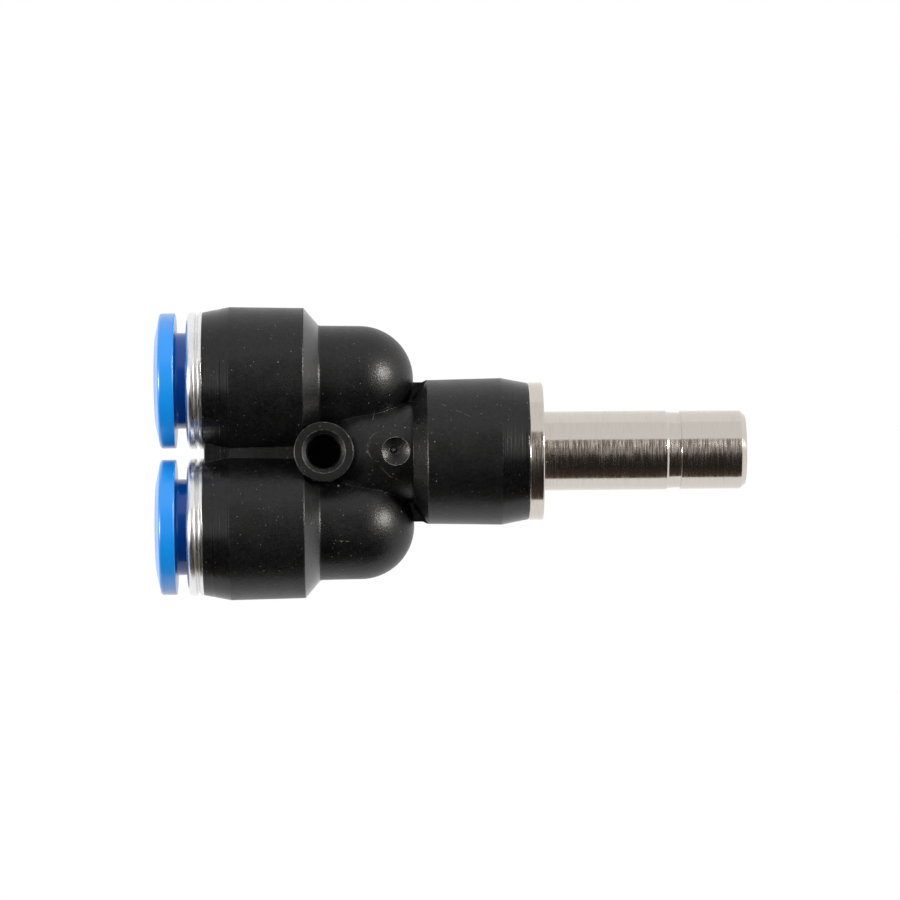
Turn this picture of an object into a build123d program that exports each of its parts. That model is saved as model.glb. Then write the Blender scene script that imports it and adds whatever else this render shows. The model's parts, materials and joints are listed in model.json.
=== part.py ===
from build123d import *
import os

# Push-in Y connector for pneumatic tube. Millimetres, +Z up, +X along the plug-in stem.
# The origin is on the stem's axis, at the shoulder face that the stem is pushed in up to.
# The three axes lie in the plane z = 0, and the part lies flat on its barrels.

# Tube and stem
tube_d = 8.0             # outside diameter of the tubes that plug in
tube_gap = 0.15          # radial room round the tube in the release sleeve
seat_gap = 0.05          # radial room round the tube in its seat
stem_d = 8.0             # plug-in stem, made like a tube end
stem_l = 20.5            # shoulder face to tip
stem_wall = 1.1

# Housing walls, each outside one of the bores
seal_w = 1.9             # radial room for the seal between tube and chamber wall
barrel_wall = 1.53       # fullest ring of each barrel, outside the chamber
shoulder_wall = 1.38     # where the barrel ends in its cone
mouth_wall = 1.01        # at the mouth
elbow_wall = 1.43        # outside the tube seat
core_wall = 2.35         # fullest ring of the middle body, outside the flow bore
core_end_wall = 2.08
neck_wall = 2.65         # foot of the cone behind the stem barrel

# Housing lengths
port_gap = 0.98          # between the two mouths
barrel_l = 10.2          # mouth to shoulder
mouth_taper_l = 2.7      # tapered part of that length
cone_l = 1.54            # shoulder to elbow tube
elbow_run = 4.09         # elbow tube up to the centre of its ball end
elbow_draft = 0.07       # the ball end is this much smaller than the foot
ball_past = 0.05         # ball end beyond the core end
neck_l = 1.4             # cone between the middle body and the stem barrel
core_crown = 4.1         # core end to the fullest section of the middle body
core_dome_l = 6.0        # domed end of the middle body
chamber_l = 8.9          # depth of the chamber behind each mouth
tube_seat_l = 5.0        # tube seat behind the chamber
seat_lead = 0.4          # chamfer that leads the tube into its seat
press_l = 7.4            # pressed length of the stem

# Rounded edges of the housing
edge_round = 0.1
belly_round = 1.5        # barrel to mouth taper
shoulder_round = 0.15
foot_round = 0.3         # cone to elbow tube

# Flow bores
flow_r = 3.0
cross_r = 2.3            # passage that joins the three bores
cross_wall = 1.65        # left between that passage and the core end
port_end_wall = 1.35     # left between a port's flow bore and its elbow's ball end

# Screw hole, web and rib in the middle plane
screw_hole_d = 3.3
screw_rim_d = 3.6        # foot of the countersink
screw_sink_d = 4.35      # mouth of the countersink
screw_sink_h = 0.35
boss_d = 6.0
boss_top = 6.0
boss_in = 9.0            # core end to the boss's axis
web_half_t = 2.7
web_set_back = 0.12      # web end behind the barrel mouths
rib_half_t = 0.8
rib_step = 0.23          # rib edge below the barrel's shoulder

# Gate recess on top of the middle body, with the pip that the gate leaves
gate_d = 2.77
gate_in = 1.79           # core end to the recess's axis
gate_rim = 0.2           # depth of its straight rim
gate_dish = 0.35         # depth of its round floor below the rim
pip_d = 0.5
pip_h = 0.35
pip_well_d = 0.8
pip_well_h = 0.12
pip_off_x = -0.21
pip_off_y = 0.14

# Cap ring
cap_l = 1.6              # visible collar
cap_skirt_l = 3.2        # skirt pressed into the chamber
cap_lip_l = 0.5          # lip depth behind the mouth that the sleeve's hooks catch
cap_nose_l = 0.48        # rounded front edge
cap_nose_h = 0.85
cap_notch_w = 0.45
cap_notch_h = 0.42
cap_land_l = 0.3         # flat behind the notch
cap_lead = 0.2

# Release sleeve
collar_inset = 0.08      # collar below the barrel's mouth
collar_t = 1.54
collar_dome = 0.59       # the front face rises this much towards the bore
collar_round = 0.3       # front edge
collar_root = 0.35       # collar to sleeve tube
sleeve_wall = 0.7
slide_gap = 0.08         # radial running fit in the cap ring
sleeve_travel = 1.0
push_gap = 0.17          # left under the collar when the sleeve is pushed in
sleeve_lead = 0.45
hook_h = 0.35
hook_l = 0.7
hook_gap = 0.03          # hooks to cap ring lip
hook_room = 0.3          # hooks to skirt
nose_l = 1.5             # taper from the hooks to the end that opens the teeth
nose_t = 0.35
finger_slots = 4
finger_slot_w = 0.9
finger_slot_l = 3.6

# Grab ring
grab_t = 0.25
grab_teeth = 12
grab_slot_w = 0.8
grab_bite = 0.28         # teeth reach inside the tube's surface
grab_root = 1.05         # tooth root outside the tube's surface
grab_lean = 40           # lean of the teeth, degrees from square

# Back ring and seal
back_l = 1.7
back_room = 0.3          # room behind the teeth
seal_float = 0.2         # axial room
seal_bite = 0.1          # lip inside the tube's surface
seal_lip_t = 0.45
seal_lip_back = 0.3      # lip end short of the seal's end
seal_heel_l = 1.2        # solid heel before the groove between the lips

# Stem
flange_t = 1.47
flange_lip = 0.05        # flange beyond the barrel's mouth
press_gap = 0.01         # radial room left on pressed seats
groove_x = 12.44
groove_l = 1.49
groove_h = 0.2
groove_slope = 0.06      # the floor is this much deeper towards the tip
land_step = 0.04         # tip land below the stem
tip_chamfer_l = 0.53
tip_chamfer_h = 0.5
barbs = 3
barb_l = 0.9
barb_h = 0.3
barb_start = 1.0
ring_groove_w = 1.35
ring_d = 0.95            # section of the stem's rubber ring
ring_end = 0.9           # groove to the pressed end
bore_lead = 0.3

# Radii and places that follow
tube_r = tube_d / 2
stem_r = stem_d / 2
chamber_r = tube_r + seal_w
barrel_r = chamber_r + barrel_wall
shoulder_r = chamber_r + shoulder_wall
mouth_r = chamber_r + mouth_wall
tube_seat_r = tube_r + seat_gap
elbow_r = tube_seat_r + elbow_wall
ball_r = elbow_r - elbow_draft
core_r = flow_r + core_wall
core_end_r = flow_r + core_end_wall
neck_r = flow_r + neck_wall
rib_r = shoulder_r - rib_step
port_pitch = 2 * mouth_r + port_gap

stem_mouth_x = -flange_t
neck_x = stem_mouth_x - barrel_l
core_end_x = neck_x - neck_l
core_x = core_end_x - core_crown
elbow_x = core_end_x + ball_past - ball_r
foot_x = elbow_x - elbow_run
shoulder_x = foot_x - cone_l
mouth_x = shoulder_x - barrel_l
chamber_x = mouth_x + chamber_l
tube_stop_x = chamber_x + tube_seat_l
press_x = stem_mouth_x - press_l
cross_x = core_end_x - cross_wall - cross_r
port_end_x = core_end_x - port_end_wall - flow_r
boss_x = core_end_x - boss_in
gate_x = core_end_x - gate_in

sleeve_bore_r = tube_r + tube_gap
sleeve_r = sleeve_bore_r + sleeve_wall
hook_r = sleeve_r + hook_h
cap_bore_r = sleeve_r + slide_gap
skirt_r = hook_r + hook_room
collar_r = mouth_r - collar_inset
pressed_r = chamber_r - press_gap
tooth_root_r = tube_r + grab_root

cap_front_x = mouth_x - cap_l
cap_lip_x = mouth_x + cap_lip_l
cap_end_x = mouth_x + cap_skirt_l
collar_back_x = cap_front_x - sleeve_travel - push_gap
collar_front_x = collar_back_x - collar_t
collar_face_x = collar_front_x - collar_dome
hook_x = cap_lip_x + hook_gap
nose_x = hook_x + hook_l + nose_l
back_x = cap_end_x + grab_t
seal_x = back_x + back_l
seal_end_x = chamber_x - seal_float

port_sides = {"upper": port_pitch / 2, "lower": -port_pitch / 2}

os.makedirs("parts", exist_ok=True)


def along_x(y):
    """Line along X through a port's or the stem's axis, to turn a profile about."""
    return Axis((0, y, 0), (1, 0, 0))


def corner(profile, x, r):
    """The profile's corner nearest to a place, to round or chamfer it."""
    return profile.vertices().sort_by_distance((x, r))[0]


# Housing, one moulding
with BuildPart() as body:
    # Each port: barrel, cone, elbow tube and its ball end, turned about the port's axis
    taper_x = mouth_x + mouth_taper_l
    for y in port_sides.values():
        with BuildSketch(Plane((0, y, 0))) as port_outside:
            with BuildLine():
                Polyline(
                    (elbow_x + ball_r, 0),
                    (mouth_x, 0),
                    (mouth_x, mouth_r),
                    (taper_x, barrel_r),
                    (shoulder_x, shoulder_r),
                    (foot_x, elbow_r),
                    (elbow_x, ball_r),
                )
                CenterArc((elbow_x, 0), ball_r, 0, 90)
            make_face()
            fillet(corner(port_outside, mouth_x, mouth_r), edge_round)
            fillet(corner(port_outside, taper_x, barrel_r), belly_round)
            fillet(corner(port_outside, shoulder_x, shoulder_r), shoulder_round)
            fillet(corner(port_outside, foot_x, elbow_r), foot_round)
        revolve(axis=along_x(y))

    # Middle body and stem barrel, with the cone between them, turned about the stem's axis
    stem_taper_x = stem_mouth_x - mouth_taper_l
    with BuildSketch() as stem_outside:
        with BuildLine():
            EllipticalCenterArc((core_x, 0), core_dome_l, core_r, 90, arc_size=90)
            TangentArc((core_x, core_r), (core_end_x, core_end_r), tangent=(1, 0))
            Polyline(
                (core_end_x, core_end_r),
                (core_end_x, neck_r),
                (neck_x, shoulder_r),
                (stem_taper_x, barrel_r),
                (stem_mouth_x, mouth_r),
                (stem_mouth_x, 0),
                (core_x - core_dome_l, 0),
            )
        make_face()
        fillet(corner(stem_outside, core_end_x, neck_r), edge_round)
        fillet(corner(stem_outside, neck_x, shoulder_r), shoulder_round)
        fillet(corner(stem_outside, stem_taper_x, barrel_r), belly_round)
        fillet(corner(stem_outside, stem_mouth_x, mouth_r), edge_round)
    revolve(axis=along_x(0))

    # Web between the port barrels, up to the boss
    web_x = mouth_x + web_set_back
    with BuildSketch():
        with Locations(((web_x + boss_x) / 2, 0)):
            Rectangle(boss_x - web_x, port_pitch)
    extrude(amount=web_half_t, both=True)

    # Rib in the middle plane: it fills the corners between the ball ends and the cone
    with BuildSketch():
        with BuildLine():
            Polyline(
                (elbow_x, 0),
                (elbow_x, rib_r),
                (neck_x - 2 * rib_step, rib_r),
                (neck_x, shoulder_r),
                (neck_x, 0),
                close=True,
            )
        make_face()
        mirror(about=Plane.XZ)
    extrude(amount=rib_half_t, both=True)

    # Boss round the screw hole
    with BuildSketch(Plane.XZ) as boss_side:
        with Locations((boss_x + boss_d / 4, 0)):
            Rectangle(boss_d / 2, 2 * boss_top)
        fillet(boss_side.vertices().group_by(Axis.X)[-1], edge_round)
    revolve(axis=Axis((boss_x, 0, 0), (0, 0, 1)))

    # Chamber, tube seat and flow bore of each port
    for y in port_sides.values():
        with BuildSketch(Plane((0, y, 0))) as port_bore:
            with BuildLine():
                Polyline(
                    (port_end_x + flow_r, 0),
                    (mouth_x, 0),
                    (mouth_x, chamber_r),
                    (chamber_x, chamber_r),
                    (chamber_x, tube_seat_r),
                    (tube_stop_x, tube_seat_r),
                    (tube_stop_x, flow_r),
                    (port_end_x, flow_r),
                )
                CenterArc((port_end_x, 0), flow_r, 0, 90)
            make_face()
            chamfer(corner(port_bore, chamber_x, tube_seat_r), seat_lead)
        revolve(axis=along_x(y), mode=Mode.SUBTRACT)

    # Passage across, from port bore to port bore
    with BuildSketch(Plane.XZ):
        with Locations((cross_x, 0)):
            Circle(cross_r)
    extrude(amount=port_pitch / 2, both=True, mode=Mode.SUBTRACT)

    # Press seat and flow bore of the stem
    with BuildSketch():
        with BuildLine():
            Polyline(
                (stem_mouth_x, 0),
                (stem_mouth_x, chamber_r),
                (press_x, chamber_r),
                (press_x, flow_r),
                (cross_x, flow_r),
                (cross_x, 0),
                close=True,
            )
        make_face()
    revolve(axis=along_x(0), mode=Mode.SUBTRACT)

    # Screw hole, countersunk from both sides
    with BuildSketch(Plane.XZ):
        with BuildLine():
            Polyline(
                (boss_x, 0),
                (boss_x + screw_hole_d / 2, 0),
                (boss_x + screw_hole_d / 2, boss_top - 2 * screw_sink_h),
                (boss_x + screw_rim_d / 2, boss_top - screw_sink_h),
                (boss_x + screw_sink_d / 2, boss_top),
                (boss_x, boss_top),
                close=True,
            )
        make_face()
        mirror(about=Plane.XZ)
    revolve(axis=Axis((boss_x, 0, 0), (0, 0, 1)), mode=Mode.SUBTRACT)

    # Gate recess: a dish with a straight rim, a small well in its floor and the pip
    gate_rim_z = core_end_r - gate_rim
    gate_floor_z = gate_rim_z - gate_dish
    with BuildSketch(Plane.XZ):
        with BuildLine():
            Polyline(
                (gate_x, gate_floor_z),
                (gate_x, core_r + gate_rim),
                (gate_x + gate_d / 2, core_r + gate_rim),
                (gate_x + gate_d / 2, gate_rim_z),
            )
            TangentArc((gate_x, gate_floor_z), (gate_x + gate_d / 2, gate_rim_z), tangent=(1, 0))
        make_face()
    revolve(axis=Axis((gate_x, 0, 0), (0, 0, 1)), mode=Mode.SUBTRACT)
    pip_foot = Plane((gate_x + pip_off_x, pip_off_y, gate_floor_z - pip_well_h))
    with BuildSketch(pip_foot):
        Circle(pip_well_d / 2)
    extrude(amount=2 * pip_well_h, mode=Mode.SUBTRACT)
    with BuildSketch(pip_foot):
        Circle(pip_d / 2)
    extrude(amount=pip_h)
    pip_top = body.faces().filter_by(Axis.Z).sort_by_distance(pip_foot.origin + (0, 0, pip_h))[0]
    fillet(pip_top.edges(), pip_d / 4)

body.part.label = "body"
export_step(body.part, "parts/body.step")

# Pieces of each port
for side, y in port_sides.items():
    # Release sleeve, in its pulled-out place
    with BuildPart() as release_sleeve:
        with BuildSketch(Plane((0, y, 0))) as sleeve_side:
            with BuildLine():
                Polyline(
                    (collar_face_x, sleeve_bore_r),
                    (collar_front_x, collar_r),
                    (collar_back_x, collar_r),
                    (collar_back_x, sleeve_r),
                    (hook_x, sleeve_r),
                    (hook_x, hook_r),
                    (hook_x + hook_l, hook_r),
                    (nose_x, sleeve_bore_r + nose_t),
                    (nose_x, sleeve_bore_r),
                    close=True,
                )
            make_face()
            fillet(corner(sleeve_side, collar_front_x, collar_r), collar_round)
            fillet(corner(sleeve_side, collar_back_x, collar_r), edge_round)
            fillet(corner(sleeve_side, collar_back_x, sleeve_r), collar_root)
            chamfer(corner(sleeve_side, collar_face_x, sleeve_bore_r), sleeve_lead)
        revolve(axis=along_x(y))
        with BuildSketch(Plane((nose_x, y, 0), x_dir=(0, 1, 0), z_dir=(-1, 0, 0))):
            with PolarLocations((sleeve_bore_r + hook_r) / 2, finger_slots):
                Rectangle(2 * (hook_r - sleeve_bore_r), finger_slot_w)
        extrude(amount=finger_slot_l, mode=Mode.SUBTRACT)
    release_sleeve.part.label = f"{side}_release_sleeve"
    export_step(release_sleeve.part, f"parts/{side}_release_sleeve.step")

    # Cap ring: notched collar outside, skirt pressed into the chamber
    with BuildPart() as cap_ring:
        notch_x = mouth_x - cap_land_l - cap_notch_w / 2
        with BuildSketch(Plane((0, y, 0))) as cap_side:
            with BuildLine():
                Polyline(
                    (cap_front_x + cap_nose_l, mouth_r),
                    (notch_x - cap_notch_w / 2, mouth_r),
                    (notch_x, mouth_r - cap_notch_h),
                    (notch_x + cap_notch_w / 2, mouth_r),
                    (mouth_x, mouth_r),
                    (mouth_x, pressed_r),
                    (cap_end_x, pressed_r),
                    (cap_end_x, skirt_r),
                    (cap_lip_x, skirt_r),
                    (cap_lip_x, cap_bore_r),
                    (cap_front_x, cap_bore_r),
                    (cap_front_x, mouth_r - cap_nose_h),
                )
                EllipticalCenterArc(
                    (cap_front_x + cap_nose_l, mouth_r - cap_nose_h),
                    cap_nose_l,
                    cap_nose_h,
                    90,
                    arc_size=90,
                )
            make_face()
            fillet(corner(cap_side, notch_x, mouth_r - cap_notch_h), edge_round)
            chamfer(corner(cap_side, cap_front_x, cap_bore_r), cap_lead)
        revolve(axis=along_x(y))
    cap_ring.part.label = f"{side}_cap_ring"
    export_step(cap_ring.part, f"parts/{side}_cap_ring.step")

    # Grab ring: flat rim clamped under the cap ring's skirt, teeth leaning inwards
    with BuildPart() as grab_ring:
        with BuildSketch(Plane((0, y, 0))):
            with BuildLine():
                rim = Line((cap_end_x, pressed_r), (cap_end_x, tooth_root_r))
                PolarLine(
                    rim @ 1, grab_root + grab_bite, grab_lean - 90, length_mode=LengthMode.VERTICAL
                )
                offset(amount=grab_t, side=Side.LEFT)
            make_face()
        revolve(axis=along_x(y))
        with BuildSketch(Plane((cap_end_x, y, 0), x_dir=(0, 1, 0), z_dir=(1, 0, 0))):
            with PolarLocations(tooth_root_r - grab_root, grab_teeth):
                Rectangle(2 * grab_root, grab_slot_w)
        extrude(amount=back_l + grab_t, mode=Mode.SUBTRACT)
    grab_ring.part.label = f"{side}_grab_ring"
    export_step(grab_ring.part, f"parts/{side}_grab_ring.step")

    # Back ring: its cone lets the teeth bend and then backs them
    with BuildPart() as back_ring:
        with BuildSketch(Plane((0, y, 0))):
            with BuildLine():
                back_rim = Line((back_x, pressed_r), (back_x, tooth_root_r + back_room))
                back_cone = PolarLine(
                    back_rim @ 1,
                    grab_root + back_room - tube_gap,
                    grab_lean - 90,
                    length_mode=LengthMode.VERTICAL,
                )
                Polyline(back_cone @ 1, (seal_x, sleeve_bore_r), (seal_x, pressed_r), back_rim @ 0)
            make_face()
        revolve(axis=along_x(y))
    back_ring.part.label = f"{side}_back_ring"
    export_step(back_ring.part, f"parts/{side}_back_ring.step")

    # Seal: outer lip on the chamber wall, inner lip on the tube, groove between them
    with BuildPart() as seal_ring:
        seal_lip_r = tube_r - seal_bite
        seal_lip_x = seal_end_x - seal_lip_back
        groove_top_r = pressed_r - seal_lip_t
        groove_low_r = seal_lip_r + seal_lip_t
        with BuildSketch(Plane((0, y, 0))) as seal_side:
            with BuildLine():
                Polyline(
                    (seal_x, pressed_r),
                    (seal_end_x, pressed_r),
                    (seal_end_x, groove_top_r),
                    (seal_x + seal_heel_l, (groove_top_r + groove_low_r) / 2),
                    (seal_lip_x, groove_low_r),
                    (seal_lip_x, seal_lip_r),
                    (seal_x, sleeve_bore_r),
                    close=True,
                )
            make_face()
            fillet(corner(seal_side, seal_x + seal_heel_l, (groove_top_r + groove_low_r) / 2), edge_round)
            fillet(corner(seal_side, seal_lip_x, seal_lip_r), edge_round)
        revolve(axis=along_x(y))
    seal_ring.part.label = f"{side}_seal_ring"
    export_step(seal_ring.part, f"parts/{side}_seal_ring.step")

# Stem: tube-sized plug end, shoulder flange, and a barbed end pressed into the third barrel
with BuildPart() as stem:
    bore_r = stem_r - stem_wall
    flange_r = mouth_r + flange_lip
    groove_end_x = groove_x + groove_l
    barb_x = stem_mouth_x - barb_start
    ring_x = press_x + ring_end
    ring_floor_r = chamber_r - ring_d - 2 * press_gap
    barb_points = []
    for i in range(barbs):
        barb_points.append((barb_x - i * barb_l, pressed_r))
        barb_points.append((barb_x - (i + 1) * barb_l, pressed_r - barb_h))
    with BuildSketch() as stem_side:
        with BuildLine():
            Polyline(
                (stem_l, bore_r),
                (stem_l, stem_r - tip_chamfer_h),
                (stem_l - tip_chamfer_l, stem_r - land_step),
                (groove_end_x, stem_r - land_step),
                (groove_end_x, stem_r - groove_h),
                (groove_x + groove_h, stem_r - groove_h + groove_slope),
                (groove_x, stem_r),
                (0, stem_r),
                (0, flange_r),
                (stem_mouth_x, flange_r),
                (stem_mouth_x, pressed_r),
                *barb_points,
                (barb_x - barbs * barb_l, pressed_r),
                (ring_x + ring_groove_w, pressed_r),
                (ring_x + ring_groove_w, ring_floor_r),
                (ring_x, ring_floor_r),
                (ring_x, pressed_r),
                (press_x, pressed_r),
                (press_x, bore_r),
                close=True,
            )
        make_face()
        chamfer(corner(stem_side, 0, flange_r), edge_round)
        chamfer(corner(stem_side, stem_mouth_x, flange_r), edge_round)
        chamfer(corner(stem_side, press_x, pressed_r), bore_lead)
        chamfer(corner(stem_side, press_x, bore_r), bore_lead)
    revolve(axis=along_x(0))
stem.part.label = "stem"
export_step(stem.part, "parts/stem.step")

# Rubber ring in the stem's inner groove
with BuildPart() as stem_o_ring:
    with BuildSketch():
        with Locations((ring_x + ring_groove_w / 2, chamber_r - ring_d / 2 - press_gap)):
            Circle(ring_d / 2)
    revolve(axis=along_x(0))
stem_o_ring.part.label = "stem_o_ring"
export_step(stem_o_ring.part, "parts/stem_o_ring.step")
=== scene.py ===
import json
import math

import bpy
from mathutils import Matrix, Vector


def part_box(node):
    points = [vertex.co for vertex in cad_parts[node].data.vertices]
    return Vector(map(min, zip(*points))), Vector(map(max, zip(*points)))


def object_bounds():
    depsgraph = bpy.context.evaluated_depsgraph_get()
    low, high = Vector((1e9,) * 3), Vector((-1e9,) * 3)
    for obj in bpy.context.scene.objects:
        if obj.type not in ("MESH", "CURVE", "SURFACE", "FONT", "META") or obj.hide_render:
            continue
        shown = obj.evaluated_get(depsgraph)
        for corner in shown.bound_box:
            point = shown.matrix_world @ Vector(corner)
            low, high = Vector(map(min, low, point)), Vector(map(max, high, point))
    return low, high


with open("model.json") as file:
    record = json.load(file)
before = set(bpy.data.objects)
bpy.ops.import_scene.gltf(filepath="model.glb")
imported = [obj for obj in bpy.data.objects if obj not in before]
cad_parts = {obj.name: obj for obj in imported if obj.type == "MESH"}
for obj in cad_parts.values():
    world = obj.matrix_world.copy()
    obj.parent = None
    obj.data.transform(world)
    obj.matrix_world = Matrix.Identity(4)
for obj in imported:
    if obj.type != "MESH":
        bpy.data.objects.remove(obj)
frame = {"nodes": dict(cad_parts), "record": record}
cad_low, cad_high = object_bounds()

# Housing: one moulding of black glass-filled plastic, which all other parts are pressed or
# clipped into. Its mould is spark-eroded on the barrels and elbows and turned smooth on the
# tapers at the mouths. It has picked up dust, hair scratches and rub marks in handling.
MM = 1000.0


def bare_material(name):
    """A new node material with nothing in it."""
    material = bpy.data.materials.new(name)
    material.use_nodes = True
    material.node_tree.nodes.clear()
    return material


def put(tree, kind, settings=None, inputs=None):
    """Adds one shader node, with its settings and with its inputs set or linked."""
    node = tree.nodes.new(kind)
    for key, value in (settings or {}).items():
        setattr(node, key, value)
    for key, value in (inputs or {}).items():
        if isinstance(value, bpy.types.NodeSocket):
            tree.links.new(value, node.inputs[key])
        else:
            node.inputs[key].default_value = value
    return node


def reckon(tree, operation, *values):
    """One arithmetic step on numbers."""
    node = put(tree, "ShaderNodeMath", {"operation": operation}, dict(enumerate(values)))
    return node.outputs[0]


def times(tree, value, *factors):
    """Numbers multiplied with each other."""
    for factor in factors:
        value = reckon(tree, "MULTIPLY", value, factor)
    return value


def reckon_places(tree, operation, *values):
    """One arithmetic step on places."""
    node = put(tree, "ShaderNodeVectorMath", {"operation": operation}, dict(enumerate(values)))
    gives_number = operation in ("LENGTH", "DOT_PRODUCT", "DISTANCE")
    return node.outputs["Value" if gives_number else "Vector"]


def scaled(tree, place, factor):
    """A place or a way, lengthened by a factor."""
    node = put(tree, "ShaderNodeVectorMath", {"operation": "SCALE"}, {0: place, 3: factor})
    return node.outputs["Vector"]


def measure(tree, place, axis):
    """A place's distance along one axis."""
    return put(tree, "ShaderNodeSeparateXYZ", inputs={0: place}).outputs[axis]


def on_plan(tree, place):
    """A place as seen from straight above, without its height."""
    return reckon_places(tree, "MULTIPLY", place, (1, 1, 0))


def on_upper_side(tree, place):
    """1 on the upper half of the connector and 0 on the lower."""
    return reckon(tree, "GREATER_THAN", measure(tree, place, "Z"), 0.0)


def ease(tree, value, start, end, low=0.0, high=1.0):
    """Goes smoothly from low to high while the value goes from start to end."""
    settings = {"interpolation_type": "SMOOTHSTEP"}
    inputs = {"Value": value, "From Min": start, "From Max": end, "To Min": low, "To Max": high}
    return put(tree, "ShaderNodeMapRange", settings, inputs).outputs["Result"]


def between(tree, mask, under, over):
    """One number laid over another through a mask."""
    return put(tree, "ShaderNodeMix", inputs={0: mask, 2: under, 3: over}).outputs[0]


def tint(tree, mask, under, over):
    """One colour laid over another through a mask."""
    node = put(tree, "ShaderNodeMix", {"data_type": "RGBA"}, {0: mask, 6: under, 7: over})
    return node.outputs[2]


def noise(tree, place, scale, detail=2.0):
    """Value noise from 0 to 1, with its features about 1/scale apart."""
    inputs = {"Vector": place, "Scale": scale, "Detail": detail}
    return put(tree, "ShaderNodeTexNoise", inputs=inputs).outputs[0]


def place_in_mm(tree):
    """The place on the connector in millimetres, from the shoulder of the stem."""
    return scaled(tree, put(tree, "ShaderNodeTexCoord").outputs["Object"], MM)


def effect_group(name, inputs, outputs):
    """A node group for an effect, with the names and kinds of its sockets."""
    tree = bpy.data.node_groups.new(name, "ShaderNodeTree")
    for way, sockets in (("INPUT", inputs), ("OUTPUT", outputs)):
        for socket, kind in sockets.items():
            tree.interface.new_socket(name=socket, in_out=way, socket_type="NodeSocket" + kind)
    return tree, tree.nodes.new("NodeGroupInput").outputs


def hand_out(tree, results):
    """Leads the results of an effect out of its group."""
    put(tree, "NodeGroupOutput", inputs=results)


def effect(tree, group, inputs):
    """Places an effect in a material, with the values it has there."""
    return put(tree, "ShaderNodeGroup", {"node_tree": group}, inputs).outputs


def relief(tree, height, depth, strength=1.0, normal=None):
    """A relief too fine to be modelled, with its depth in metres."""
    inputs = {"Height": height, "Strength": strength, "Distance": depth}
    if normal is not None:
        inputs["Normal"] = normal
    return put(tree, "ShaderNodeBump", inputs=inputs).outputs[0]


def finish_surface(material, inputs):
    """The shader of one finish, and the material's output."""
    shader = put(material.node_tree, "ShaderNodeBsdfPrincipled", inputs=inputs)
    put(material.node_tree, "ShaderNodeOutputMaterial", inputs={"Surface": shader.outputs[0]})


def dress(nodes, material):
    """Gives CAD nodes their finish."""
    for name in nodes:
        node = frame["nodes"][name]
        node.data.materials.clear()
        node.data.materials.append(material)


# Edges: rounded a little in the moulding or by tumbling, so that they catch the light, and
# rubbed bare where they stand out. In nooks, where nothing else gets at them, they are not.
# On the housing, the paler colour along these edges is partly wear and partly a painted highlight.
NOOK_SIZE = 0.0004
OPEN_ENOUGH = (0.75, 0.95)

edge_tree, given = effect_group(
    "edges",
    {"Radius": "Float", "Reach": "Float"},
    {"Rubbed_and_lit": "Float", "Normal": "Vector"},
)
soft = put(edge_tree, "ShaderNodeBevel", {"samples": 6}, {"Radius": given["Radius"]}).outputs[0]
plain = put(edge_tree, "ShaderNodeNewGeometry").outputs["Normal"]
bent = reckon(edge_tree, "SUBTRACT", 1.0, reckon_places(edge_tree, "DOT_PRODUCT", soft, plain))
air = put(edge_tree, "ShaderNodeAmbientOcclusion", {"samples": 4}, {"Distance": NOOK_SIZE})
stands_out = ease(edge_tree, air.outputs["AO"], *OPEN_ENOUGH)
on_edge = ease(edge_tree, bent, 0.0, given["Reach"])
hand_out(edge_tree, {"Rubbed_and_lit": times(edge_tree, on_edge, stands_out), "Normal": soft})

# Grain: what a spark-eroded mould leaves, fine pits of a tenth of a millimetre over
# a weaker unevenness.
UNEVEN_PER_MM = 2.2
UNEVEN_HEIGHT = 0.6
CLOUDS_PER_MM = 0.45

grain_tree, given = effect_group(
    "moulded_grain",
    {"Place": "Vector", "Grain": "Float"},
    {"Height": "Float", "Cloud": "Float"},
)
pits = noise(grain_tree, given["Place"], given["Grain"], detail=2.5)
cloud = noise(grain_tree, given["Place"], CLOUDS_PER_MM, detail=3.0)
uneven = noise(grain_tree, given["Place"], UNEVEN_PER_MM, detail=1.0)
height = reckon(grain_tree, "MULTIPLY_ADD", uneven, UNEVEN_HEIGHT, pits)
hand_out(grain_tree, {"Height": height, "Cloud": cloud})

# Turning lines: what a lathe leaves, lines round the X axis, a few of them deeper.
COARSE_PER_FINE = 0.27
DEEP_LINES = (0.56, 0.68)
DEEP_LINE_HEIGHT = 0.8

lines_tree, given = effect_group(
    "turning_lines",
    {"Place": "Vector", "Pitch": "Float", "Run": "Float"},
    {"Height": "Float", "Streak": "Float", "Fine": "Float"},
)
along_and_round = {0: given["Pitch"], 1: given["Run"], 2: given["Run"]}
stretch = put(lines_tree, "ShaderNodeCombineXYZ", inputs=along_and_round).outputs[0]
drawn = reckon_places(lines_tree, "MULTIPLY", given["Place"], stretch)
fine = noise(lines_tree, drawn, 1.0, detail=2.0)
coarse = noise(lines_tree, drawn, COARSE_PER_FINE, detail=1.0)
deep = ease(lines_tree, coarse, *DEEP_LINES)
height = reckon(lines_tree, "MULTIPLY_ADD", deep, DEEP_LINE_HEIGHT, fine)
hand_out(lines_tree, {"Height": height, "Streak": deep, "Fine": fine})

# Dust: specks under a tenth of a millimetre, in random places and of uneven size.
LEAST_SPECK = 0.3
SPECK_CORE = 0.4

dust_tree, given = effect_group(
    "dust_specks",
    {"Place": "Vector", "Density": "Float", "Share": "Float", "Size": "Float"},
    {"Specks": "Float"},
)
scatter = {"Vector": given["Place"], "Scale": given["Density"]}
cells = put(dust_tree, "ShaderNodeTexVoronoi", inputs=scatter).outputs
lot = put(dust_tree, "ShaderNodeSeparateColor", inputs={0: cells["Color"]}).outputs
size_lot = reckon(dust_tree, "ADD", lot[1], LEAST_SPECK)
speck_reach = times(dust_tree, given["Size"], given["Density"], size_lot)
core_reach = times(dust_tree, speck_reach, SPECK_CORE)
speck = ease(dust_tree, cells["Distance"], speck_reach, core_reach)
present = reckon(dust_tree, "LESS_THAN", lot[0], given["Share"])
hand_out(dust_tree, {"Specks": times(dust_tree, speck, present)})

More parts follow.
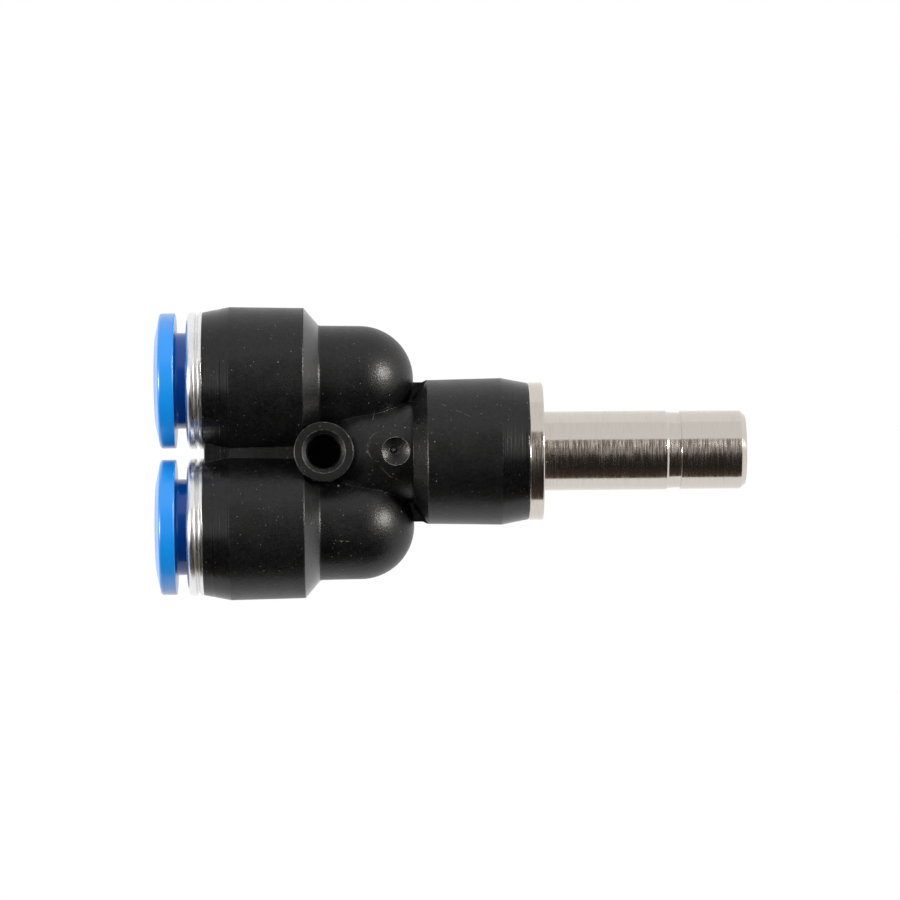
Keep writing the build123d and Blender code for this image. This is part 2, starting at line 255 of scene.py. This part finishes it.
# Scratch: a hair-thin straight line on the upper side, from one place to another,
# with gaps where the tool that made it skipped.
MARK_CORE = 0.3
SKIPS_PER_MM = 3.5
SKIP_LIMITS = (0.38, 0.55)

scratch_tree, given = effect_group(
    "hair_scratch",
    {"Place": "Vector", "Start": "Vector", "End": "Vector", "Width": "Float"},
    {"Mark": "Float"},
)
line = reckon_places(scratch_tree, "SUBTRACT", given["End"], given["Start"])
flat = on_plan(scratch_tree, given["Place"])
off = reckon_places(scratch_tree, "SUBTRACT", flat, given["Start"])
along = reckon_places(scratch_tree, "DOT_PRODUCT", off, line)
whole = reckon_places(scratch_tree, "DOT_PRODUCT", line, line)
reached = reckon(scratch_tree, "DIVIDE", along, whole)
share = put(scratch_tree, "ShaderNodeClamp", inputs={"Value": reached}).outputs[0]
away = reckon_places(scratch_tree, "DISTANCE", off, scaled(scratch_tree, line, share))
core = times(scratch_tree, given["Width"], MARK_CORE)
near = ease(scratch_tree, away, given["Width"], core)
broken = noise(scratch_tree, given["Place"], SKIPS_PER_MM, detail=2.0)
skips = ease(scratch_tree, broken, *SKIP_LIMITS)
upper = on_upper_side(scratch_tree, given["Place"])
hand_out(scratch_tree, {"Mark": times(scratch_tree, near, upper, skips)})

# Rub: part of a faint ring on the upper side, left by the edge of another fitting.
RUBBED_SIDE = (0.2, 0.7)
PATCHES_PER_MM = 4.0
PATCH_LIMITS = (0.36, 0.6)

rub_tree, given = effect_group(
    "rub_ring",
    {
        "Place": "Vector",
        "Centre": "Vector",
        "Radius": "Float",
        "Width": "Float",
        "Facing": "Vector",
    },
    {"Mark": "Float"},
)
off = reckon_places(rub_tree, "SUBTRACT", on_plan(rub_tree, given["Place"]), given["Centre"])
outside = reckon(rub_tree, "SUBTRACT", reckon_places(rub_tree, "LENGTH", off), given["Radius"])
near = ease(rub_tree, reckon(rub_tree, "ABSOLUTE", outside), given["Width"], 0.0)
way = reckon_places(rub_tree, "NORMALIZE", off)
side = ease(rub_tree, reckon_places(rub_tree, "DOT_PRODUCT", way, given["Facing"]), *RUBBED_SIDE)
broken = noise(rub_tree, given["Place"], PATCHES_PER_MM, detail=3.0)
patchy = ease(rub_tree, broken, *PATCH_LIMITS)
upper = on_upper_side(rub_tree, given["Place"])
hand_out(rub_tree, {"Mark": times(rub_tree, near, side, upper, patchy)})

# The marks on this housing, in millimetres from the shoulder of the stem. Each scratch has
# its two ends, each rub its centre, radius and side, each fleck its centre and radius. The
# last value is how strongly the mark shows.
HAIR_SCRATCHES = (
    ((-17.15, 3.15, 0), (-16.95, 4.05, 0), 0.25),
    ((-16.5, -1.48, 0), (-15.5, -2.5, 0), 0.2),
    ((-15.5, -2.5, 0), (-14.26, -3.04, 0), 0.16),
    ((-10.25, 4.66, 0), (-9.72, 4.40, 0), 0.3),
    ((-8.78, 3.98, 0), (-7.39, 3.36, 0), 0.26),
    ((-21.0, -8.9, 0), (-19.6, -9.0, 0), 0.35),
    ((-24.3, 14.03, 0), (-23.7, 14.03, 0), 1.0),
)
SCRATCH_WIDTH = 0.035
RUB_RINGS = (
    ((-16.1, 0.4, 0), 1.6, (-1, 0.1, 0), 0.13),
    ((-16.4, 0.2, 0), 1.25, (-0.9, -0.4, 0), 0.12),
    ((-27.24, 12.41, 0), 0.5, (0.3, 0.95, 0), 0.08),
)
RUB_WIDTH = 0.08
FLECKS_AND_PIP_GLINT = (
    # The first fleck, on the gate pip in the dimple, is a painted highlight: the pip's glint.
    ((-15.08, 0.13, 0), 0.09, 0.4),
    ((-20.65, -3.40, 0), 0.13, 0.8),
    ((-19.59, 1.51, 0), 0.07, 0.9),
    ((-13.92, 2.37, 0), 0.09, 0.8),
    ((-13.57, 2.37, 0), 0.05, 0.6),
    ((-12.79, 2.25, 0), 0.05, 0.6),
    ((-16.07, 2.46, 0), 0.05, 0.6),
)

# The plastic itself: black in the pits and dark grey on the grain between them, paler on
# standing edges, partly from wear and partly as a painted highlight. The cones where the
# barrels step down to the elbows have a glossier skin.
HOUSING_BLACK = (0.0002, 0.0002, 0.0004, 1)
HOUSING_GREY = (0.0042, 0.0042, 0.0045, 1)
HOUSING_WORN_AND_HIGHLIT = (0.27, 0.27, 0.27, 1)
DUST_AND_GLINT_GREY = (0.28, 0.27, 0.25, 1)
HOUSING_GRAIN = {"Grain": 6.0}
HOUSING_LINES = {"Pitch": 6.0, "Run": 0.15}
HOUSING_EDGES = {"Radius": 0.00012, "Reach": 0.11}
COARSE_DUST = {"Density": 1.0, "Share": 0.7, "Size": 0.075}
COARSE_DUST_SHOWS = 0.42
FINE_DUST = {"Density": 2.2, "Share": 0.7, "Size": 0.065}
FINE_DUST_SHOWS = 0.28
TAPER_L = 2.7
TAPER_STEP = 0.06
WORN_AND_LIT_GRAIN = (0.6, 0.95)
WEAR_AND_HIGHLIGHT_SHOWS = 0.8
GREY_GRAIN = (0.55, 1.05)
CLOUD_LIMITS = (0.3, 0.7)
GRAINED_ROUGH = (0.35, 0.4)
TAPER_ROUGH = 0.27
STREAK_POLISH = -0.06
SOIL_ROUGHER = 0.3
LINE_HEIGHT = 0.85
HOUSING_RELIEF = 0.000022
CONE_FROM = (-24.4, -24.1)
CONE_TO = (-22.2, -22.5)
CONE_FACING = (0.55, 0.7)
CONE_SKIN_ROUGH = 0.3

housing_plastic = bare_material("housing_plastic")
tree = housing_plastic.node_tree
place = place_in_mm(tree)
x = measure(tree, place, "X")
body_low, body_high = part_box("body")
port_taper_end = body_low.x * MM + TAPER_L
stem_taper_end = body_high.x * MM - TAPER_L
port_taper = ease(tree, x, port_taper_end + TAPER_STEP, port_taper_end - TAPER_STEP)
stem_taper = ease(tree, x, stem_taper_end - TAPER_STEP, stem_taper_end + TAPER_STEP)
turned = reckon(tree, "ADD", port_taper, stem_taper)
grain = effect(tree, grain_tree, {"Place": place, **HOUSING_GRAIN})
lines = effect(tree, lines_tree, {"Place": place, **HOUSING_LINES})
edges = effect(tree, edge_tree, HOUSING_EDGES)
coarse_dust = effect(tree, dust_tree, {"Place": place, **COARSE_DUST})
fine_dust = effect(tree, dust_tree, {"Place": place, **FINE_DUST})

marks_and_pip_glint = 0.0
for start, end, strength in HAIR_SCRATCHES:
    scratch = {"Place": place, "Start": start, "End": end, "Width": SCRATCH_WIDTH}
    mark = times(tree, effect(tree, scratch_tree, scratch)["Mark"], strength)
    marks_and_pip_glint = reckon(tree, "MAXIMUM", marks_and_pip_glint, mark)
for centre, radius, facing, strength in RUB_RINGS:
    ring = {"Centre": centre, "Radius": radius, "Width": RUB_WIDTH, "Facing": facing}
    mark = times(tree, effect(tree, rub_tree, {"Place": place, **ring})["Mark"], strength)
    marks_and_pip_glint = reckon(tree, "MAXIMUM", marks_and_pip_glint, mark)
upper = on_upper_side(tree, place)
flat = on_plan(tree, place)
for centre, radius, strength in FLECKS_AND_PIP_GLINT:
    away = reckon_places(tree, "DISTANCE", flat, centre)
    spot = times(tree, ease(tree, away, radius, radius * MARK_CORE, high=strength), upper)
    marks_and_pip_glint = reckon(tree, "MAXIMUM", marks_and_pip_glint, spot)

coarse_specks = times(tree, coarse_dust["Specks"], COARSE_DUST_SHOWS)
fine_specks = times(tree, fine_dust["Specks"], FINE_DUST_SHOWS)
specks = reckon(tree, "MAXIMUM", coarse_specks, fine_specks)
# Dust, marks and the painted highlight on the gate pip all take the dust grey here.
soil_and_pip_glint = reckon(tree, "MAXIMUM", specks, marks_and_pip_glint)
# Standing edges are painted paler: partly wear, partly a painted highlight where they catch the
# light.
rubbed_and_highlit = times(tree, edges["Rubbed_and_lit"], ease(tree, grain["Height"], *WORN_AND_LIT_GRAIN), WEAR_AND_HIGHLIGHT_SHOWS)
mottled = tint(tree, ease(tree, grain["Height"], *GREY_GRAIN), HOUSING_BLACK, HOUSING_GREY)
colour = tint(tree, soil_and_pip_glint, tint(tree, rubbed_and_highlit, mottled, HOUSING_WORN_AND_HIGHLIT), DUST_AND_GLINT_GREY)
grained_rough = ease(tree, grain["Cloud"], *CLOUD_LIMITS, *GRAINED_ROUGH)
turned_rough = reckon(tree, "MULTIPLY_ADD", lines["Streak"], STREAK_POLISH, TAPER_ROUGH)
clean_rough = between(tree, turned, grained_rough, turned_rough)
line_height = times(tree, lines["Height"], LINE_HEIGHT)
height = between(tree, turned, grain["Height"], line_height)
facing = measure(tree, put(tree, "ShaderNodeTexCoord").outputs["Normal"], "X")
at_cones = times(tree, ease(tree, x, *CONE_FROM), ease(tree, x, *CONE_TO))
finish_surface(
    housing_plastic,
    {
        "Base Color": colour,
        "Roughness": reckon(tree, "MULTIPLY_ADD", soil_and_pip_glint, SOIL_ROUGHER, clean_rough),
        "Normal": relief(tree, height, HOUSING_RELIEF, normal=edges["Normal"]),
        "IOR": 1.45,
        "Coat Weight": times(tree, at_cones, ease(tree, facing, *CONE_FACING)),
        "Coat Roughness": CONE_SKIN_ROUGH,
    },
)
dress(["body"], housing_plastic)

# Release sleeves: one blue acetal moulding in each port, satin on the collar's rim and
# glossy on the tube that slides in the cap ring. The tube, down inside the cap ring, gets a
# darker blue as painted shade. A little dark dirt sits on the rim.
SIDES = ("upper", "lower")
SLEEVE_BLUE = (0.0002, 0.190, 0.585, 1)
SLEEVE_SHADE_AND_CLOUD_BLUE = (0.0002, 0.130, 0.54, 1)
SLEEVE_DIRT = (0.02, 0.05, 0.12, 1)
SLEEVE_GRAIN = {"Grain": 11.0}
SLEEVE_EDGES = {"Radius": 0.0002, "Reach": 0.4}
DIRT_SPECKS = {"Density": 0.45, "Share": 0.3, "Size": 0.09}
DIRT_SHOWS = 0.85
BLUE_CLOUDS = (0.3, 0.8)
BLUE_CLOUD_SHOWS = 0.12
TUBE_TO_RIM = (4.85, 5.4)
TUBE_ROUGH = 0.13
RIM_ROUGH = 0.28
CLOUD_ROUGHER = 0.05
TUBE_GRAIN_SHOWS = 0.05
RIM_GRAIN_SHOWS = 0.3
SLEEVE_RELIEF = 0.000008
RIM_GLOSS = 0.8
RIM_GLOSS_ROUGH = 0.32

sleeve_plastic = bare_material("sleeve_plastic")
tree = sleeve_plastic.node_tree
place = place_in_mm(tree)
sleeve_low, sleeve_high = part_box("upper_release_sleeve")
port_y = (sleeve_low.y + sleeve_high.y) / 2 * MM
off_y = reckon(tree, "SUBTRACT", reckon(tree, "ABSOLUTE", measure(tree, place, "Y")), port_y)
across = put(tree, "ShaderNodeCombineXYZ", inputs={1: off_y, 2: measure(tree, place, "Z")})
from_axis = reckon_places(tree, "LENGTH", across.outputs[0])
rim = ease(tree, from_axis, *TUBE_TO_RIM)
grain = effect(tree, grain_tree, {"Place": place, **SLEEVE_GRAIN})
edges = effect(tree, edge_tree, SLEEVE_EDGES)
dirt = effect(tree, dust_tree, {"Place": place, **DIRT_SPECKS})
clouds = ease(tree, grain["Cloud"], *BLUE_CLOUDS, high=BLUE_CLOUD_SHOWS)
# The tube takes the darker blue as painted shade; the clouds are the plastic's own uneven tone.
shaded_clouded_blue = tint(tree, clouds, tint(tree, rim, SLEEVE_SHADE_AND_CLOUD_BLUE, SLEEVE_BLUE), SLEEVE_SHADE_AND_CLOUD_BLUE)
plain_rough = ease(tree, from_axis, *TUBE_TO_RIM, TUBE_ROUGH, RIM_ROUGH)
grain_shows = ease(tree, from_axis, *TUBE_TO_RIM, TUBE_GRAIN_SHOWS, RIM_GRAIN_SHOWS)
finish_surface(
    sleeve_plastic,
    {
        "Base Color": tint(tree, times(tree, dirt["Specks"], DIRT_SHOWS), shaded_clouded_blue, SLEEVE_DIRT),
        "Roughness": reckon(tree, "MULTIPLY_ADD", grain["Cloud"], CLOUD_ROUGHER, plain_rough),
        "Normal": relief(tree, grain["Height"], SLEEVE_RELIEF, grain_shows, edges["Normal"]),
        "IOR": 1.5,
        "Coat Weight": times(tree, rim, RIM_GLOSS),
        "Coat Roughness": RIM_GLOSS_ROUGH,
    },
)
dress([side + "_release_sleeve" for side in SIDES], sleeve_plastic)

# Cap rings: turned brass, plated, pressed into the mouths. The tool left fine ridges round
# them, which spread the light along the connector into a bright satin.
CAP_PLATE = (0.84, 0.84, 0.845, 1)
CAP_STAIN = (0.45, 0.44, 0.43, 1)
CAP_LINES = {"Pitch": 6.0, "Run": 0.5}
CAP_EDGES = {"Radius": 0.00008, "Reach": 0.5}
CAP_SPOTS = {"Density": 0.8, "Share": 0.35, "Size": 0.08}
CAP_SPOTS_SHOW = 0.8
CAP_RIDGES = (0.3, 0.7)
CAP_ROUGH = (0.24, 0.36)
CAP_RELIEF = 0.00002
CAP_SPREAD = 0.55
TURNED_ROUND_X = {"direction_type": "RADIAL", "axis": "X"}
QUARTER_TURN = 0.25

cap_plate = bare_material("cap_plate")
tree = cap_plate.node_tree
place = place_in_mm(tree)
lines = effect(tree, lines_tree, {"Place": place, **CAP_LINES})
edges = effect(tree, edge_tree, CAP_EDGES)
spots = effect(tree, dust_tree, {"Place": place, **CAP_SPOTS})
spotted = times(tree, spots["Specks"], CAP_SPOTS_SHOW)
finish_surface(
    cap_plate,
    {
        "Base Color": tint(tree, spotted, CAP_PLATE, CAP_STAIN),
        "Metallic": 1.0,
        "Roughness": ease(tree, lines["Fine"], *CAP_RIDGES, *CAP_ROUGH),
        "Normal": relief(tree, lines["Height"], CAP_RELIEF, normal=edges["Normal"]),
        "Anisotropic": CAP_SPREAD,
        "Anisotropic Rotation": QUARTER_TURN,
        "Tangent": put(tree, "ShaderNodeTangent", TURNED_ROUND_X).outputs[0],
    },
)
dress([side + "_cap_ring" for side in SIDES], cap_plate)

# Grab rings: stamped from stainless spring strip. The rolling direction shows as fine
# straight lines, and the stamped edges are bright.
SPRING_STEEL = (0.56, 0.55, 0.53, 1)
SPRING_SHADE = (0.44, 0.43, 0.42, 1)
SPRING_EDGES = {"Radius": 0.00004, "Reach": 0.5}
ROLLED_ALONG_Y = (1.0, 0.06, 1.0)
STRIP_LINES = 14.0
SHADED_LINES = (0.35, 0.65)
ROUGH_LINES = (0.3, 0.7)
SPRING_ROUGH = (0.22, 0.34)
SPRING_RELIEF = 0.000006
SPRING_LINES_SHOW = 0.3

spring_steel = bare_material("spring_steel")
tree = spring_steel.node_tree
stretched = reckon_places(tree, "MULTIPLY", place_in_mm(tree), ROLLED_ALONG_Y)
rolled = noise(tree, stretched, STRIP_LINES)
edges = effect(tree, edge_tree, SPRING_EDGES)
finish_surface(
    spring_steel,
    {
        "Base Color": tint(tree, ease(tree, rolled, *SHADED_LINES), SPRING_STEEL, SPRING_SHADE),
        "Metallic": 1.0,
        "Roughness": ease(tree, rolled, *ROUGH_LINES, *SPRING_ROUGH),
        "Normal": relief(tree, rolled, SPRING_RELIEF, SPRING_LINES_SHOW, edges["Normal"]),
    },
)
dress([side + "_grab_ring" for side in SIDES], spring_steel)

# Back rings: natural acetal, moulded, which hold the grab rings' rims against the caps.
# The cream is a little uneven, as undyed plastic is.
ACETAL_CREAM = (0.66, 0.64, 0.57, 1)
ACETAL_SHADE = (0.55, 0.52, 0.45, 1)
ACETAL_GRAIN = {"Grain": 7.0}
ACETAL_EDGES = {"Radius": 0.00006, "Reach": 0.4}
ACETAL_ROUGH = (0.32, 0.42)
ACETAL_RELIEF = 0.00001
ACETAL_GRAIN_SHOWS = 0.25

natural_acetal = bare_material("ring_plastic")
tree = natural_acetal.node_tree
grain = effect(tree, grain_tree, {"Place": place_in_mm(tree), **ACETAL_GRAIN})
edges = effect(tree, edge_tree, ACETAL_EDGES)
clouds = ease(tree, grain["Cloud"], *CLOUD_LIMITS)
acetal_normal = relief(tree, grain["Height"], ACETAL_RELIEF, ACETAL_GRAIN_SHOWS, edges["Normal"])
finish_surface(
    natural_acetal,
    {
        "Base Color": tint(tree, clouds, ACETAL_CREAM, ACETAL_SHADE),
        "Roughness": ease(tree, grain["Cloud"], *CLOUD_LIMITS, *ACETAL_ROUGH),
        "Normal": acetal_normal,
    },
)
dress([side + "_back_ring" for side in SIDES], natural_acetal)

# Seals: lip seals in the ports and the stem's ring, black nitrile rubber, matt, with
# a grey bloom in places.
RUBBER_BLACK = (0.010, 0.010, 0.0105, 1)
RUBBER_BLOOM = (0.032, 0.032, 0.033, 1)
RUBBER_GRAIN = {"Grain": 14.0}
BLOOM_LIMITS = (0.45, 0.7)
RUBBER_ROUGH = (0.5, 0.72)
RUBBER_RELIEF = 0.00001
RUBBER_GRAIN_SHOWS = 0.4

seal_rubber = bare_material("seal_rubber")
tree = seal_rubber.node_tree
grain = effect(tree, grain_tree, {"Place": place_in_mm(tree), **RUBBER_GRAIN})
bloom = ease(tree, grain["Cloud"], *BLOOM_LIMITS)
finish_surface(
    seal_rubber,
    {
        "Base Color": tint(tree, bloom, RUBBER_BLACK, RUBBER_BLOOM),
        "Roughness": ease(tree, bloom, 0.0, 1.0, *RUBBER_ROUGH),
        "Normal": relief(tree, grain["Height"], RUBBER_RELIEF, RUBBER_GRAIN_SHOWS),
    },
)
dress([side + "_seal_ring" for side in SIDES] + ["stem_o_ring"], seal_rubber)

# Stem: turned brass with bright nickel plate, pressed into the third barrel. The tool's
# lines run round it, a few catch the light, and handling has left small stains.
NICKEL = (0.635, 0.585, 0.535, 1)
NICKEL_STAIN = (0.30, 0.27, 0.24, 1)
STEM_LINES = {"Pitch": 7.0, "Run": 0.5}
STEM_EDGES = {"Radius": 0.00007, "Reach": 0.5}
STEM_SPOTS = {"Density": 0.7, "Share": 0.35, "Size": 0.08}
STEM_SPOTS_SHOW = 0.7
STAINED_RIDGES = (0.5, 0.75)
STAINED_RIDGES_SHOW = 0.10
STEM_RIDGES = (0.35, 0.65)
STEM_ROUGH = (0.14, 0.25)
STEM_RELIEF = 0.000012
STEM_SPREAD = 0.8

stem_plate = bare_material("stem_plate")
tree = stem_plate.node_tree
place = place_in_mm(tree)
lines = effect(tree, lines_tree, {"Place": place, **STEM_LINES})
edges = effect(tree, edge_tree, STEM_EDGES)
spots = effect(tree, dust_tree, {"Place": place, **STEM_SPOTS})
spotted = times(tree, spots["Specks"], STEM_SPOTS_SHOW)
stained = ease(tree, lines["Fine"], *STAINED_RIDGES, high=STAINED_RIDGES_SHOW)
lined = tint(tree, stained, NICKEL, NICKEL_STAIN)
finish_surface(
    stem_plate,
    {
        "Base Color": tint(tree, spotted, lined, NICKEL_STAIN),
        "Metallic": 1.0,
        "Roughness": ease(tree, lines["Fine"], *STEM_RIDGES, *STEM_ROUGH),
        "Normal": relief(tree, lines["Fine"], STEM_RELIEF, normal=edges["Normal"]),
        "Anisotropic": STEM_SPREAD,
        "Anisotropic Rotation": QUARTER_TURN,
        "Tangent": put(tree, "ShaderNodeTangent", TURNED_ROUND_X).outputs[0],
    },
)
dress(["stem"], stem_plate)

# Floor: white card, seen as pure white up to the connector's edge, with its real shadow in
# soft-edged patches under the ports, the stem's barrel and the stem. Below the screw hole
# the card has a painted shadow, so that the hole looks deep.
CARD_WHITE = (0.86, 0.86, 0.86, 1)
FLOOR_SIDE = 6.0
SHADOW_PATCHES = (
    ((-0.0243, 0.0, 0.0), (0.0112, 0.0138, 1.0)),
    ((-0.0065, 0.0, 0.0), (0.0075, 0.0062, 1.0)),
    ((0.006, 0.0, 0.0), (0.0135, 0.0036, 1.0)),
)
PATCH_EDGE = (1.0, 0.62)
PAINTED_HOLE_SHADOW = (0.02, 0.02, 0.02, 1)
PAINTED_HOLE_SHADOW_R = 0.0045

bpy.ops.object.select_all(action="DESELECT")
bpy.ops.mesh.primitive_plane_add(size=FLOOR_SIDE, location=(0, 0, cad_low.z))
floor = bpy.context.object
floor.name = "floor"
white_card = bare_material("white_card")
tree = white_card.node_tree
spot_on_floor = put(tree, "ShaderNodeTexCoord").outputs["Object"]
mounts = {mount["name"]: mount for mount in frame["record"]["mounts"]}
hole_x, hole_y = mounts["screw_hole"]["pos_m"][:2]
from_hole = reckon_places(tree, "DISTANCE", spot_on_floor, (hole_x, hole_y, 0.0))
# Painted shadow: the card is coloured near black below the screw hole.
painted_shadow_under_hole = ease(tree, from_hole, PAINTED_HOLE_SHADOW_R, PAINTED_HOLE_SHADOW_R / 2)
shade = tint(tree, painted_shadow_under_hole, CARD_WHITE, PAINTED_HOLE_SHADOW)
card = put(tree, "ShaderNodeBsdfDiffuse", inputs={"Color": shade})
pure = put(tree, "ShaderNodeEmission", inputs={"Color": (1, 1, 1, 1), "Strength": 1.0})
near_object = 0.0
for centre, reach in SHADOW_PATCHES:
    off = reckon_places(tree, "SUBTRACT", spot_on_floor, centre)
    flat = on_plan(tree, reckon_places(tree, "DIVIDE", off, reach))
    inside = ease(tree, reckon_places(tree, "LENGTH", flat), *PATCH_EDGE)
    near_object = reckon(tree, "MAXIMUM", near_object, inside)
rays = put(tree, "ShaderNodeLightPath").outputs
seen = reckon(tree, "MAXIMUM", rays["Is Camera Ray"], rays["Is Glossy Ray"])
seen = reckon(tree, "MAXIMUM", seen, rays["Is Transmission Ray"])
as_white = times(tree, seen, reckon(tree, "SUBTRACT", 1.0, near_object))
layers = {0: as_white, 1: card.outputs[0], 2: pure.outputs[0]}
whole = put(tree, "ShaderNodeMixShader", inputs=layers)
put(tree, "ShaderNodeOutputMaterial", inputs={"Surface": whole.outputs[0]})
floor.data.materials.append(white_card)

# Studio: a white room with a dark brown canopy on the near side, up to a little short of
# overhead and with a slanting edge, a dark screen from there to past the camera, a grey
# card at the left, and two small soft lamps standing low at the left and right. The canopy,
# screen and card are not lit: they glow at painted shades, which on the canopy and screen
# change with their angle above the floor, standing in for the room's shade and light.
CANOPY_R = 0.62
SCREEN_END = 121.0
SHEETS = {
    "canopy": {
        "steps": 36,
        "left": -0.75,
        "right": 0.75,
        "start": -0.5,
        "left_end": 69.0,
        "right_end": 84.0,
    },
    "camera_screen": {
        "steps": 24,
        "left": -0.14,
        "right": 0.18,
        "start": 66.0,
        "left_end": SCREEN_END,
        "right_end": SCREEN_END,
    },
}
# Painted shades of the glowing canopy and screen, by their angle above the floor.
CANOPY_SHADES = (
    (0.0, (0.085, 0.062, 0.045, 1)),
    (0.14, (0.050, 0.036, 0.027, 1)),
    (0.30, (0.022, 0.019, 0.017, 1)),
    (0.52, (0.026, 0.023, 0.020, 1)),
    (0.66, (0.055, 0.045, 0.038, 1)),
    (0.76, (0.088, 0.072, 0.062, 1)),
    (0.88, (0.10, 0.083, 0.071, 1)),
    (1.0, (0.30, 0.275, 0.255, 1)),
)
ROOM_WHITE = 0.88
SIDE_CARD_X = -0.75
SIDE_CARD_H = 0.5
SIDE_CARD_L = 1.4
SIDE_CARD_GREY = (0.30, 0.295, 0.29, 1)
LAMP_DISTANCE = 0.55
LAMP_SIDE = 0.095
LAMP_WARM = (1.0, 0.965, 0.92)
LAMP_POWER = 3.1
LAMPS = {"lamp_right": (0.762, 0.22, 0.609), "lamp_left": (-0.86, -0.03, 0.50)}


def glowing(material, shade):
    """A finish that shows its own brightness, whatever light falls on it."""
    glow = put(material.node_tree, "ShaderNodeEmission", inputs={"Color": shade, "Strength": 1.0})
    put(material.node_tree, "ShaderNodeOutputMaterial", inputs={"Surface": glow.outputs[0]})


room = bpy.data.worlds.new("white_room")
bpy.context.scene.world = room
room.use_nodes = True
tree = room.node_tree
tree.nodes.clear()
by_camera = put(tree, "ShaderNodeLightPath").outputs["Is Camera Ray"]
white = put(tree, "ShaderNodeMapRange", inputs={"Value": by_camera, "To Min": ROOM_WHITE})
walls = {"Color": (1, 1, 1, 1), "Strength": white.outputs[0]}
sky = put(tree, "ShaderNodeBackground", inputs=walls)
put(tree, "ShaderNodeOutputWorld", inputs={"Surface": sky.outputs[0]})

canopy_glow = bare_material("canopy_glow")
tree = canopy_glow.node_tree
spot_on_cloth = put(tree, "ShaderNodeTexCoord").outputs["Object"]
near_side = times(tree, measure(tree, spot_on_cloth, "Y"), -1.0)
rise = reckon(tree, "ARCTAN2", measure(tree, spot_on_cloth, "Z"), near_side)
share = reckon(tree, "DIVIDE", rise, math.radians(SCREEN_END))
shades = put(tree, "ShaderNodeValToRGB", inputs={0: share})
ramp = shades.color_ramp
ramp.elements[0].position, ramp.elements[0].color = CANOPY_SHADES[0]
ramp.elements[1].position, ramp.elements[1].color = CANOPY_SHADES[-1]
for position, shade in CANOPY_SHADES[1:-1]:
    ramp.elements.new(position).color = shade
glowing(canopy_glow, shades.outputs[0])
for name, sheet in SHEETS.items():
    bpy.ops.object.select_all(action="DESELECT")
    bpy.ops.mesh.primitive_grid_add(x_subdivisions=1, y_subdivisions=sheet["steps"], size=1.0)
    cloth_piece = bpy.context.object
    cloth_piece.name = name
    for vertex in cloth_piece.data.vertices:
        side = "left" if vertex.co.x < 0 else "right"
        turn = sheet["start"] + (sheet[side + "_end"] - sheet["start"]) * (vertex.co.y + 0.5)
        up_round = math.radians(turn)
        cloth_y, cloth_z = -CANOPY_R * math.cos(up_round), CANOPY_R * math.sin(up_round)
        vertex.co = (sheet[side], cloth_y, cloth_z)
    cloth_piece.visible_camera = False
    cloth_piece.data.materials.append(canopy_glow)

bpy.ops.object.select_all(action="DESELECT")
bpy.ops.mesh.primitive_plane_add(
    size=1.0,
    location=(SIDE_CARD_X, 0, cad_low.z + SIDE_CARD_H / 2),
    rotation=(0, math.radians(90), 0),
)
side_card = bpy.context.object
side_card.name = "side_card"
side_card.scale = (SIDE_CARD_H, SIDE_CARD_L, 1)
side_card.visible_camera = False
grey_glow = bare_material("grey_glow")
# The side card glows at an even painted grey.
glowing(grey_glow, SIDE_CARD_GREY)
side_card.data.materials.append(grey_glow)

for name, towards in LAMPS.items():
    light = bpy.data.lights.new(name, "AREA")
    light.shape = "DISK"
    light.size = LAMP_SIDE
    light.energy = LAMP_POWER
    light.color = LAMP_WARM
    lamp = bpy.data.objects.new(name, light)
    bpy.context.scene.collection.objects.link(lamp)
    lamp.location = Vector(towards).normalized() * LAMP_DISTANCE
    lamp.rotation_euler = Vector(towards).to_track_quat("Z", "Y").to_euler()

# Camera: straight above, a little left of the middle, as the photograph's perspective shows.
EYE = Vector((-0.01795, -0.00995, 0.445))
AIM = Vector((-0.00934, 0.00018, 0.0))
PIXELS_PER_M = 9880
FRAME_PX = 900
SENSOR_MM = 36
CLIP_START = 0.01
ROLL = math.radians(0.5)

camera_data = bpy.data.cameras.new("camera")
camera_data.sensor_width = SENSOR_MM
camera_data.lens = SENSOR_MM * PIXELS_PER_M * EYE.z / FRAME_PX
camera_data.clip_start = CLIP_START
camera = bpy.data.objects.new("camera", camera_data)
bpy.context.scene.collection.objects.link(camera)
back = (EYE - AIM).normalized()
up = Vector((math.sin(ROLL), math.cos(ROLL), 0))
right = up.cross(back).normalized()
turned_to = Matrix((right, back.cross(right), back)).transposed().to_4x4()
camera.matrix_world = Matrix.Translation(EYE) @ turned_to
bpy.context.scene.camera = camera
bpy.context.scene.view_settings.view_transform = "Standard"
